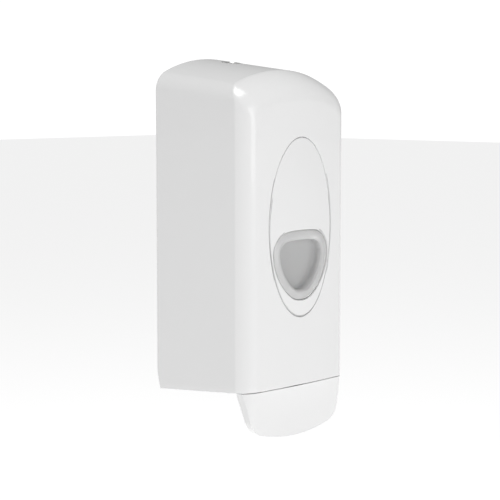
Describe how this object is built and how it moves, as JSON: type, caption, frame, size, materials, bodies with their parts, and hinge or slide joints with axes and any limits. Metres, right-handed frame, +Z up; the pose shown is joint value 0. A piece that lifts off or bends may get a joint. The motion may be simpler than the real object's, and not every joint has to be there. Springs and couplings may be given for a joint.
{
  "type": "wall mounted soap dispenser",
  "caption": "Tall wall mounted soap dispenser: hinged white cover with an oval panel and sight window, push lever at the bottom, reservoir and lift pump inside.",
  "frame": {"origin": "centre of the four wall screws, on the wall plane", "axes": "+Z up, +X to the right of a person facing the dispenser, +Y into the wall, front faces -Y"},
  "size_m": [0.112, 0.096, 0.2775],
  "materials": {
    "white_abs": "fine satin gloss",
    "clear_pane": "clear moulded plastic",
    "grey_plastic": "matt moulded",
    "steel": "zinc plated",
    "spring_steel": "drawn wire",
    "lock_metal": "nickel plated",
    "back_white": "fine moulded texture",
    "translucent_pe": "milky translucent",
    "seal_rubber": "smooth",
    "lid_plastic": "ribbed grip",
    "pump_plastic": "natural"
  },
  "bodies": {
    "back": {"back_plate": "back_white", "hinge_pins": "steel", "pump_shelf": "back_white", "shelf_screws": "steel", "reservoir": "translucent_pe", "lid_seal": "seal_rubber", "reservoir_lid": "lid_plastic", "outlet_gasket": "seal_rubber", "pump_body": "pump_plastic", "inlet_valve": "seal_rubber", "collar_nut": "lid_plastic", "pump_spring": "spring_steel"},
    "piston": {"nozzle_stem": "pump_plastic", "piston_seal": "seal_rubber", "nozzle_valve": "seal_rubber"},
    "cover": {"front_cover": "white_abs", "fascia_panel": "white_abs", "sight_window": "clear_pane", "lever_bracket": "grey_plastic", "bracket_screws": "steel", "lever_pin": "steel", "pin_clips": "steel", "lock_housing": "lock_metal", "lock_nut": "lock_metal"},
    "lock": {"lock_barrel": "lock_metal", "lock_cam": "steel", "cam_screw": "steel"},
    "lever": {"push_lever": "white_abs"}
  },
  "joints": [
    {"name": "cover_hinge", "type": "hinge", "parent": "back", "child": "cover", "pos_m": [0, -0.012, -0.108], "axis": [1, 0, 0], "range_deg": [0, 70]},
    {"name": "lever_press", "type": "hinge", "parent": "cover", "child": "lever", "pos_m": [0, -0.078, -0.1], "axis": [1, 0, 0], "range_deg": [0, 12]},
    {"name": "pump_slide", "type": "slide", "parent": "back", "child": "piston", "axis": [0, 0, 1], "range_m": [0, 0.0065], "stiffness_N_per_m": 350, "springref_m": -0.012, "deforming": ["pump_spring"]},
    {"name": "lock_turn", "type": "hinge", "parent": "cover", "child": "lock", "pos_m": [0, -0.024, 0.12723], "axis": [0, 0.1172, -0.9931], "range_deg": [0, 90]}
  ],
  "couplings": [
    {"joint": "lever_press", "follows": "pump_slide", "rad_per_m": 32.05}
  ]
}
